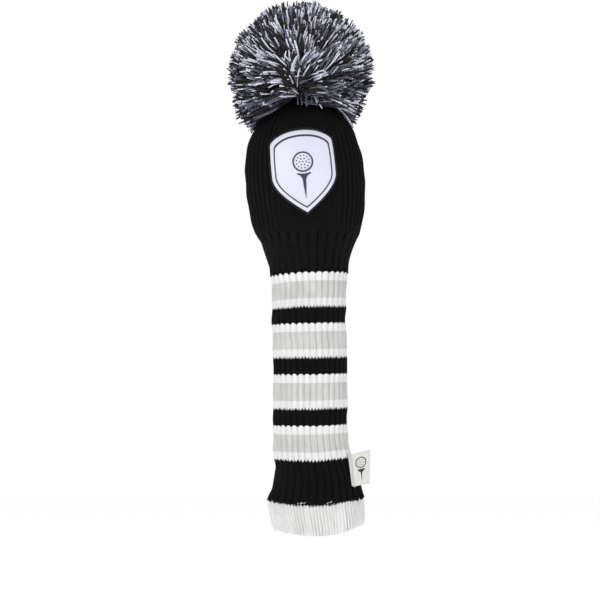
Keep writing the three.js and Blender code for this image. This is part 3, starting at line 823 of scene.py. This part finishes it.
def lower_edge(end):
    """The lowest that a strand may end: lower beside the crown, and an arch in front of it and behind it."""
    dx = end[:, 0] - centre_line(CROWN_TOP)
    hang = np.where(dx > 0, smoothstep(dx, *HANG_RIGHT), smoothstep(-dx, *HANG_LEFT))
    edge = CROWN_TOP - 5 - HANG * hang - 0.05 * np.abs(end[:, 1])
    arch = ROOT_Z - np.where(dx > 0, ARCH_RIGHT, ARCH_LEFT) * np.abs(dx)
    return np.where(np.abs(end[:, 1]) > 8, np.maximum(edge, arch), edge)


def strand_paths(rng):
    """Bent paths from the binding to the trimmed surface, and the tuft that each belongs to. A strand leaves
    the binding forwards or backwards and then leans outwards, so its visible part lies along the ball."""
    tufts = STRANDS // TUFT
    tuft_d = ball_directions(tufts, rng)
    tuft_r = ball_radius(tuft_d, rng) + rng.normal(scale=1.9, size=tufts)
    tuft = np.repeat(np.arange(tufts), TUFT)
    d = unit(tuft_d[tuft] + rng.normal(scale=0.045, size=(len(tuft), 3)))
    r = tuft_r[tuft] + rng.normal(scale=0.75, size=len(tuft))
    r += (rng.random(len(tuft)) < 0.03) * rng.uniform(0, 2.5, len(tuft))
    end = BALL_MIDDLE + d * r[:, None]
    keep = (end[:, 2] > lower_edge(end)) & (crown_factor(end) > 1.0)
    end, tuft = end[keep], tuft[keep]
    lean = (0.78 + 0.24 * rng.random(tufts))[tuft]
    part = (0.22 + 0.22 * rng.random(tufts))[tuft]
    root = np.stack([np.full(len(end), POMPOM_X), 0.35 * end[:, 1], np.full(len(end), ROOT_Z)], axis=-1)
    root += rng.normal(scale=2.6, size=(tufts, 3))[tuft] + rng.normal(scale=1.5, size=root.shape)
    control = root + (end - root) * np.stack([part, np.zeros_like(part), part], axis=-1)
    control[:, 1] = lean * end[:, 1]
    control += rng.normal(size=(tufts, 3))[tuft] * 5.0 + rng.normal(scale=1.8, size=end.shape)
    s = np.linspace(0.24, 1.0, len(YARN_TAPER))[None, :, None]
    path = (1 - s) ** 2 * root[:, None] + 2 * s * (1 - s) * control[:, None] + s * s * end[:, None]
    bend = rng.normal(scale=1.1, size=(len(end), 1, 3))
    start = rng.uniform(0, 6.3, (len(end), 1, 1))
    path = path + bend * np.sin(2 * np.pi * s + start) * np.clip(1.2 - s, 0, 1)
    clearance = rng.uniform(0.015, 0.05, len(end))[:, None]
    return lifted_off_crown(path, clearance), tuft


def stray_paths(rng):
    """Loose strands and a few uncut loops that hang over the crown's front and back."""
    s = np.linspace(0, 1, len(YARN_TAPER))[None, :]
    face = np.where(rng.random(STRAYS) < 0.6, -1.0, 1.0)[:, None]
    middle = centre_line(CROWN_TOP)
    start_x = middle + 2 + rng.normal(0, 12, (STRAYS, 1))
    slant = rng.normal(0, 4, (STRAYS, 1)) + 0.3 * (start_x - middle)
    length = rng.uniform(8, 21, (STRAYS, 1))
    looped = (rng.random(STRAYS) < 0.2)[:, None]
    for row, (place, lean, reach, loop) in enumerate(FRONT_STRAYS):
        start_x[row], slant[row], length[row] = middle + place, lean, reach
        looped[row], face[row] = loop, -1.0
    fall = np.where(looped, np.sin(np.pi * s) * 0.7, s)
    x = start_x + slant * s
    y = np.broadcast_to(face * (24 + 14 * s), x.shape)
    path = np.stack([x, y, ROOT_Z - length * fall], axis=-1)
    path += rng.normal(scale=0.35, size=path.shape)
    return lifted_off_crown(path, rng.uniform(0.04, 0.12, (STRAYS, 1)))


def strand_shades(ends, tuft, rng):
    """The index in YARNS of each strand. Most strands of a tuft share a shade, extra pale strands above the
    ball's middle are painted light, extra black ones below it, more on its left, are painted shade, and the
    FRONT_STRAYS are pale."""
    count = len(ends)
    black, pale = 0, 2
    tuft_shade = rng.choice(3, size=tuft.max() + 1, p=SHADE_SHARES)
    own_shade = rng.choice(3, size=count, p=SHADE_SHARES)
    shade = np.where(rng.random(count) < 0.6, tuft_shade[tuft], own_shade)
    above = ends[:, 2] > POMPOM_Z
    # painted light: some strands above the ball's middle turn pale; painted shade: some below it turn black,
    # more on the left
    shade = np.where(above & (rng.random(count) < 0.09), pale, shade)
    painted_shade_chance = np.where(ends[:, 0] < POMPOM_X, 0.28, 0.15)
    shade = np.where(~above & (rng.random(count) < painted_shade_chance), black, shade)
    shade[-STRAYS:] = rng.choice(3, size=STRAYS, p=STRAY_SHARES)
    shade[-STRAYS:][: len(FRONT_STRAYS)] = pale
    return shade


def make_pompom():
    """The strands near the crown are baked in place, and the rest ride on the pom-pom."""
    rng = np.random.default_rng(42)
    paths, tuft = strand_paths(rng)
    paths = np.concatenate([paths, stray_paths(rng)])
    tuft = np.concatenate([tuft, rng.integers(0, tuft.max(), STRAYS)])
    shade = strand_shades(paths[:, -1], tuft, rng)
    radii = YARN * rng.uniform(0.8, 1.15, (len(paths), 1)) * YARN_TAPER
    near_crown = (crown_factor(paths) < SKIRT_FACTOR).any(axis=1)
    pivot = np.array(next(j for j in frame["joints"] if j["name"] == "pompom_sway")["pos_m"])
    start, end = pivot + np.array([0, 0, -0.012]), pivot + np.array([0, 0, 0.018])
    for index, (colour, yarn) in enumerate(YARNS.items()):
        for part, chosen in (("ball", ~near_crown), ("skirt", near_crown)):
            pick = chosen & (shade == index)
            made = tubes(f"strands_{part}_{colour}", paths[pick], radii[pick], yarn, seed=10 + index)
            if part == "ball":
                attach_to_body(made, "pompom")
            else:
                tuple(start)
                tuple(end)
                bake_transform(made)
            if part == "ball" and colour == "black":
                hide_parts("pompom_yarn")


# ---- badge ----

# the shield's half width, and the heights of its corners, peak and tip
SHIELD_SPAN, SHIELD_CORNER, SHIELD_PEAK, SHIELD_TIP = 28.6, 28.4, 38.3, -38.5
SHIELD_WAIST = (29.3, -4)
SHIELD_SIDE = (29.6, 12)
SHIELD_BELLY = (29, -16)
SHIELD_FOOT = (12.5, -29.8)
SHIELD_ROUNDING = 2.8
SHIELD_SHOULDER = 0.6  # the top arc's control point, as a share of the half width
SIDE_STEPS, CORNER_STEPS = 26, 6
BADGE_ROLL = math.radians(5.5)
RIM = 1.7  # how far the backing shows round the shield
INLAY = 2.9  # from the shield's edge to its dark line
INLAY_WIDTH = 1.1
BACKING_TOP, FACE_TOP, PRINT_TOP = 0.9, 2.6, 3.0  # heights off the head
PRINT_FOOT = FACE_TOP - 0.2
BALL_RADIUS, BALL_UP, BALL_INSIDE = 9.5, 8.0, 0.86
DIMPLE = 0.62
FACE_SHARES = [0.0, 0.2, 0.4, 0.6, 0.8]  # rings of a layer's flat middle, as shares of its outline


def bezier(points, steps):
    """A curve through its first and last control points, without the last."""
    t = np.linspace(0, 1, steps, endpoint=False)[:, None]
    points = [np.array(p, float) for p in points]
    while len(points) > 1:
        points = [a * (1 - t) + b * t for a, b in zip(points, points[1:])]
    return points[0]


def mirrored(right, end):
    """A closed outline from its right half, which starts on the axis, and its other point on the axis."""
    return np.concatenate([right, [end], right[1:][::-1] * np.array([-1, 1])])


def shield_outline(inset=0.0):
    """The shield's edge drawn in by an inset, from the tip up its right side and back down its left."""

    def drawn(point, across, up):
        return (point[0] + across * inset, point[1] + up * inset)

    tip = drawn((0, SHIELD_TIP), 0, 1.3)
    corner = drawn((SHIELD_SPAN, SHIELD_CORNER), -1, -1.15)
    peak = SHIELD_PEAK - 1.575 * inset
    waist = drawn(SHIELD_WAIST, -1, 0)
    shoulder = (SHIELD_SHOULDER * corner[0], peak)
    before = (corner[0], corner[1] - SHIELD_ROUNDING)
    share = SHIELD_ROUNDING / math.dist(corner, shoulder)
    after = tuple(a + share * (b - a) for a, b in zip(corner, shoulder))
    right = [
        bezier([tip, drawn(SHIELD_FOOT, -0.65, 0.76), drawn(SHIELD_BELLY, -1, 0.45), waist], SIDE_STEPS),
        bezier([waist, drawn(SHIELD_SIDE, -1, 0), before], SIDE_STEPS),
        bezier([before, corner, after], CORNER_STEPS),
        bezier([after, shoulder, (0, peak)], SIDE_STEPS),
    ]
    return mirrored(np.concatenate(right), (0, peak))


def onto_head(flat, raised):
    """Lays points of the badge's plane on the head's front, raised off it."""
    c, s = math.cos(BADGE_ROLL), math.sin(BADGE_ROLL)
    x = BADGE_X + flat[..., 0] * c - flat[..., 1] * s
    z = BADGE_Z + flat[..., 0] * s + flat[..., 1] * c
    offset = (x - centre_line(z)) / half_width(z)
    front = half_depth(z) * np.sqrt(1 - offset**2)
    return np.stack([x, -front - raised, z], axis=-1)


def badge_layer(name, outline, middle, profile, finish):
    """A layer inside an outline from a profile of (share of the outline, height off the head)."""
    middle = np.array(middle, float)
    closed = profile[0] == profile[-1]
    rows = profile[:-1] if closed else profile
    flat = np.stack([middle + (outline - middle) * share for share, _ in rows])
    raised = np.array([h for _, h in rows])[:, None]
    grid = onto_head(flat, raised)
    count, cols = grid.shape[:2]
    turns = count if closed else count - 1
    i, j = np.meshgrid(np.arange(turns), np.arange(cols), indexing="ij")
    down, right = (i + 1) % count, (j + 1) % cols
    faces = np.stack([i * cols + j, down * cols + j, down * cols + right, i * cols + right], axis=-1)
    made = mesh_object(name, grid, faces.reshape(-1, 4), finish)
    weld(made)
    return made


def circle(steps):
    a = np.arange(steps) / steps * 2 * np.pi
    return np.stack([np.cos(a), np.sin(a)], axis=-1)


def dimple_places(*rings):
    """One place in the middle and one ring of places for each (radius, count, first angle in steps)."""
    places = [(0.0, 0.0)]
    for radius, count, first in rings:
        angles = (np.arange(count) + first) * 2 * math.pi / count
        places += [(radius * math.cos(a), radius * math.sin(a)) for a in angles]
    return places


def make_badge():
    rounding = [(0.93, 0.0), (0.965, -0.05), (0.99, -0.4)]
    profile = [(s, BACKING_TOP) for s in FACE_SHARES] + [(s, BACKING_TOP + h) for s, h in rounding]
    profile += [(1.0, 0.0), (1.0, -1.2), (0.9, -1.2), (0.0, -1.2)]
    made = badge_layer("badge_twill_rim", shield_outline(-RIM), (0, 0), profile, TWILL)
    attach(made, "badge_backing", "badge_backing")

    rounding = [(0.94, 0.0), (0.975, -0.08), (0.992, -0.3), (1.0, -0.75)]
    profile = [(s, FACE_TOP) for s in FACE_SHARES] + [(s, FACE_TOP + h) for s, h in rounding]
    profile += [(1.0, 0.4), (0.9, 0.4), (0.0, 0.4)]
    attach(badge_layer("badge_shield", shield_outline(), (0, 0), profile, BADGE), "badge_face", "badge_face")

    outer, inner = shield_outline(INLAY), shield_outline(INLAY + INLAY_WIDTH)
    top = PRINT_TOP - 0.1
    edges = [(outer, PRINT_FOOT), (outer, top), (inner, top), (inner, PRINT_FOOT)]
    ring = np.stack([onto_head(edge, height) for edge, height in edges])
    made = ring_mesh("badge_inlay_line", ring[:, ::-1], 1, np.zeros(4), INK)
    weld(made)
    attach(made, "badge_print", "badge_border_line")

    middle = np.array([0, BALL_UP])
    ring = [(BALL_INSIDE, PRINT_FOOT), (BALL_INSIDE, PRINT_TOP), (1.0, PRINT_TOP), (1.0, PRINT_FOOT)]
    made = badge_layer("badge_ball_outline", middle + BALL_RADIUS * circle(64), middle, ring + ring[:1], INK)
    attach(made, "badge_print", "badge_ball_motif")
    dot = [(0.0, top), (1.0, top), (1.0, PRINT_FOOT), (0.0, PRINT_FOOT)]
    for number, place in enumerate(dimple_places((3.1, 6, 0), (5.9, 12, 0.5))):
        spot = middle + place
        made = badge_layer(f"badge_dimple_{number}", spot + DIMPLE * circle(14), spot, dot, INK)
        attach(made, "badge_print")

    right = [
        bezier([(0.0, -26.0), (0.7, -20.0), (1.3, -14.0), (1.5, -9.5)], 8),
        bezier([(1.5, -9.5), (1.9, -6.0), (3.6, -4.2), (6.2, -3.4)], 8),
        bezier([(6.2, -3.4), (6.6, -2.7), (6.2, -2.2)], 4),
        bezier([(6.2, -2.2), (3.0, -3.1), (0.0, -3.3)], 6),
    ]
    tee = mirrored(np.concatenate(right), (0.0, -3.3))
    solid = [(0.0, PRINT_TOP), (0.5, PRINT_TOP), (1.0, PRINT_TOP), (1.0, PRINT_FOOT), (0.0, PRINT_FOOT)]
    attach(badge_layer("badge_tee", tee, (0, -5.5), solid, INK), "badge_print", "badge_tee_motif")


# ---- side label ----

LABEL_LENGTH, LABEL_HEIGHT, TAPE_THICKNESS = 17.4, 30.4, 0.45
LABEL_TUCK = 2.8  # how far the label reaches back from its hinge line, round the sleeve's front
LEAF_GAP = 0.22  # half the space between its two leaves
LEAF_OUTSIDE = LEAF_GAP + TAPE_THICKNESS
MOTIF_X = 8.6  # from the hinge line to the motif's axis
MOTIF_BALL = 5.2
MOTIF_BALL_HEIGHT = 5.4
TACK_STITCHES = 15
TACK_MARGIN = 1.2


def label_frame():
    """The seam's middle, its direction, and the directions out along the label and across it."""
    joint = next(j for j in frame["joints"] if j["name"] == "label_flap")
    along = np.array(joint["axis"], float)
    out = unit(np.array([1.0, 0, 0]) - along[0] * along)
    return np.array(joint["pos_m"]) / MM, along, out, np.cross(along, out)


def label_point(distance, height, across):
    """A point of the label, which lies on the sleeve by its seam and curls away towards its lower corner."""
    middle, along, out, side = label_frame()
    share = np.clip(distance / LABEL_LENGTH, 0, 1)
    fall = np.clip(0.5 - height / LABEL_HEIGHT, 0, 1)
    wrapped = np.clip(-distance, 0, None)
    back = 0.8 * share**2 + 4.0 * share**2 * fall**2 - 1.5 * wrapped
    spread = distance * (1 - 0.13 * fall * share) + 0.8 * (1 - fall) * share + 0.3 * fall * wrapped
    rise = height + 1.3 + 3.4 * share
    return middle + along * rise[..., None] + out * spread[..., None] + side * (across + back)[..., None]


def make_label():
    """A strip folded in two: its cross-section runs out along the front, round the fold and back."""
    leaf = np.linspace(-LABEL_TUCK, LABEL_LENGTH - 0.6, 30)
    arc = np.linspace(-np.pi / 2, np.pi / 2, 9)[1:-1]

    def line(half):
        """One face of the strip, at a distance from the label's middle."""
        fold = [(leaf[-1] + half * math.cos(a), half * math.sin(a)) for a in arc]
        return [(d, -half) for d in leaf] + fold + [(d, half) for d in leaf[::-1]]

    path = np.array(line(LEAF_OUTSIDE) + line(LEAF_GAP)[::-1])
    rows, cols = 40, len(path)
    height = np.linspace(-LABEL_HEIGHT / 2, LABEL_HEIGHT / 2, rows)
    d, h = np.meshgrid(path[:, 0], height)
    a, _ = np.meshgrid(path[:, 1], height)
    grid = label_point(d, h, a)
    i, j = np.meshgrid(np.arange(rows - 1), np.arange(cols), indexing="ij")
    k, up = (j + 1) % cols, i + 1
    walls = np.stack([i * cols + j, i * cols + k, up * cols + k, up * cols + j], axis=-1).reshape(-1, 4)
    run = np.concatenate([[0], np.cumsum(np.hypot(*np.diff(path, axis=0).T))])
    u = np.stack([run[j], run[j] + 0.7, run[j] + 0.7, run[j]], axis=-1)
    v = np.stack([height[i], height[i], height[up], height[up]], axis=-1)
    uv = np.stack([u, v], axis=-1).reshape(-1, 4, 2)
    # the two cut ends of the strip, between its outer and its inner line
    outer, inner = np.arange(cols // 2), cols - 1 - np.arange(cols // 2)
    end = np.stack([outer[:-1], outer[1:], inner[1:], inner[:-1]], axis=-1)
    faces = np.concatenate([walls, end[:, ::-1], end + (rows - 1) * cols])
    uv = np.concatenate([uv, np.zeros((2 * len(end), 4, 2))])
    made = mesh_object("woven_side_label", grid, faces, TAPE, uv)
    weld(made)
    attach(made, "label_tape", "side_label", body="label")


def label_print(name, sign, outline, hole=None):
    """A flat woven figure on one leaf of the label, from its outline and, for a ring, its inner outline."""
    foot, top = LEAF_OUTSIDE - 0.1, LEAF_OUTSIDE + 0.1
    inner = hole if hole is not None else np.broadcast_to(outline.mean(axis=0), outline.shape)
    rows = [(outline, foot), (outline, top), (inner, top), (inner, foot)]
    grid = np.stack([label_point(p[:, 0], p[:, 1], np.full(len(p), sign * height)) for p, height in rows])
    made = ring_mesh(name, grid, 1, np.zeros(len(rows)), INK)
    weld(made)
    attach(made, "badge_print", body="label")


def make_label_motif():
    """A ball with dimples on a tee, woven in dark thread on both leaves."""
    ring = circle(32)
    ball = np.array([MOTIF_X, MOTIF_BALL_HEIGHT])
    right = np.array([(0, -12.6), (0.75, -4.2), (3.6, -1.5), (3.6, -0.7)])
    tee = mirrored(right, (0, -0.7)) + np.array([MOTIF_X, 0])
    for leaf, sign in (("front", -1), ("back", 1)):
        label_print(f"label_ball_{leaf}", sign, ball + MOTIF_BALL * ring, ball + 0.83 * MOTIF_BALL * ring)
        label_print(f"label_tee_{leaf}", sign, tee)
        for number, place in enumerate(dimple_places((2.6, 6, 0))):
            label_print(f"label_dimple_{leaf}_{number}", sign, ball + place + 0.5 * ring[::3])


def make_bar_tack():
    """The zigzag of thread along the seam."""
    middle, along, out, side = label_frame()
    reach = LABEL_HEIGHT / 2 - TACK_MARGIN
    s = np.linspace(-1, 1, 6)
    paths = []
    for number, h in enumerate(np.linspace(-reach, reach, TACK_STITCHES)):
        slant = 1.1 * s * (1 if number % 2 else -1)
        path = middle + out * (0.2 + 0.6 * s)[:, None] + along * (h + slant)[:, None]
        paths.append(path + side * (-0.85 - 0.25 * (1 - s**2))[:, None])
    paths = np.array(paths)
    made = tubes("label_bar_tack", paths, np.full(paths.shape[:2], 0.2), WHITE_THREAD, seed=3, flat=1.0)
    attach(made, "thread", "label_stitching")


# ---- stitches where the cuff is joined on ----

FLECKS = 5  # pairs of stitches of each colour
FLECK_LEAN = 0.34 / CUFF_RIBS
FLECK_RADIUS = 0.27
# the colour, finish and slot of each kind, and its height above the cuff's edge
FLECK_KINDS = [("black", BLACK, "thread", -1.3), ("white", CUFF_WHITE, "cuff_thread", 1.5)]


def make_join_stitches():
    """Short slanted stitches of each colour that show on the other one along the cuff's upper edge."""
    rng = np.random.default_rng(77)
    s = np.linspace(-1, 1, 5)[None, :]
    for colour, finish, slot, shift in FLECK_KINDS:
        turn = (rng.permutation(CUFF_RIBS) + 0.5) / CUFF_RIBS
        turn = turn[np.abs(np.sin(2 * np.pi * turn)) < 0.85][:FLECKS, None]
        turn = np.concatenate([turn, turn + 1 / CUFF_RIBS])
        edge = cuff_edge(turn) + tilt(turn, CUFF_TOP)
        rise = edge + shift + 0.6 * s + rng.normal(0, 0.3, turn.shape)
        angle = 2 * np.pi * (turn + FLECK_LEAN * s)
        z = np.full(angle.shape, CUFF_TOP)
        # the oval's angle at that share of its length, near enough for a short stitch
        wide, deep = half_width(z), half_depth(z)
        angle = angle - 0.5 * (wide - deep) / (wide + deep) * np.sin(2 * angle)
        paths = on_sleeve(angle, z, 0.4 - 0.5 * s**2, rise)
        radii = np.full(paths.shape[:2], FLECK_RADIUS)
        attach(tubes(f"join_stitches_{colour}", paths, radii, finish, seed=9, flat=1.0), slot)


# ---- pieces that keep their CAD shape ----

CAD_FINISH = {
    "head_liner": FLEECE,
    "cuff_hem_stitching": WHITE_THREAD,
    "crown_gather_thread": THREAD,
    "crown_backing_washer": FELT,
    "pompom_tie_cord": THREAD,
    "pompom_binding": THREAD,
}


def finish_cad_pieces():
    for node, finish in CAD_FINISH.items():
        mesh = frame["nodes"][node].data
        mesh.materials.clear()
        mesh.materials.append(finish)


# ---- studio and camera ----

FLOOR_REACH, FLOOR_HEIGHT = 6000, -420  # in millimetres
FLOOR_GLOW = 0.45
WORLD_LIGHT = 0.56
# each area light: its place, what it points at, its size and its power, in metres and watts
LIGHTS = {
    "key": ((-0.9, -1.3, 1.0), (0, 0, 0.25), (0.9, 1.1), 13.6),
    "fill": ((1.1, -1.2, 0.35), (0, 0, 0.25), (0.8, 1.2), 6.5),
    "top": ((0.0, 0.25, 1.5), (0, 0, 0.3), (0.9, 0.7), 7),
}
CAMERA_DISTANCE, CAMERA_HEIGHT = 1.27, 0.136
CAMERA_AIM = np.array([-0.0089, 0.0, 0.2209])
HALF_VIEW = 0.282  # half the height of what the camera sees at the object


def place_and_aim(name, data, place, aim):
    """Adds a light or the camera, which look along their own -Z."""
    thing = bpy.data.objects.new(name, data)
    bpy.context.collection.objects.link(thing)
    thing.location = place
    thing.rotation_euler = Vector(np.array(aim) - np.array(place)).to_track_quat("-Z", "Y").to_euler()
    return thing


def make_world():
    """An even white world that lights the object softly and looks white to the camera."""
    world = bpy.data.worlds.new("studio")
    world.use_nodes = True
    bpy.context.scene.world = world
    nodes, links = world.node_tree.nodes, world.node_tree.links
    lighting, seen = nodes["Background"], nodes.new("ShaderNodeBackground")
    seen.inputs["Color"].default_value = (1, 1, 1, 1)
    lighting.inputs["Color"].default_value = (1, 1, 1, 1)
    lighting.inputs["Strength"].default_value = WORLD_LIGHT
    mix = nodes.new("ShaderNodeMixShader")
    path = nodes.new("ShaderNodeLightPath")
    links.new(path.outputs["Is Camera Ray"], mix.inputs[0])
    links.new(lighting.outputs[0], mix.inputs[1])
    links.new(seen.outputs[0], mix.inputs[2])
    links.new(mix.outputs[0], nodes["World Output"].inputs[0])


def make_studio():
    bpy.context.scene.view_settings.view_transform = "Standard"
    make_world()
    white = moulded_material("studio_white", (0.95, 0.95, 0.95), (0.94, 0.94, 0.94), 0.9, 0.01)
    shader = white.node_tree.nodes["Principled BSDF"]
    shader.inputs["Emission Color"].default_value = (1, 1, 1, 1)
    shader.inputs["Emission Strength"].default_value = FLOOR_GLOW
    ways = ((-1, -1), (1, -1), (1, 1), (-1, 1))
    corners = [(x * FLOOR_REACH, y * FLOOR_REACH, FLOOR_HEIGHT) for x, y in ways]
    mesh_object("studio_floor", corners, [[0, 1, 2, 3]], white)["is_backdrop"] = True
    for name, (place, aim, size, power) in LIGHTS.items():
        light = bpy.data.lights.new(name, "AREA")
        light.shape = "RECTANGLE"
        light.size, light.size_y = size
        light.energy = power
        place_and_aim(name, light, place, aim)


def make_camera():
    data = bpy.data.cameras.new("camera")
    data.sensor_fit = "VERTICAL"
    data.angle_y = 2 * math.atan(HALF_VIEW / math.hypot(CAMERA_DISTANCE, CAMERA_AIM[2] - CAMERA_HEIGHT))
    data.clip_start = 0.05
    place = (CAMERA_AIM[0], -CAMERA_DISTANCE, CAMERA_HEIGHT)
    bpy.context.scene.camera = place_and_aim("camera", data, place, CAMERA_AIM)


make_camera()
make_studio()
make_neck()
make_head()
make_cuff()
make_elastic()
make_badge()
make_label()
make_bar_tack()
make_label_motif()
make_join_stitches()
make_pompom()
finish_cad_pieces()

boxes = {"cad": CAD_BOX, "visual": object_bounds()}
{name: [[float(v) for v in corner] for corner in box] for name, box in boxes.items()}
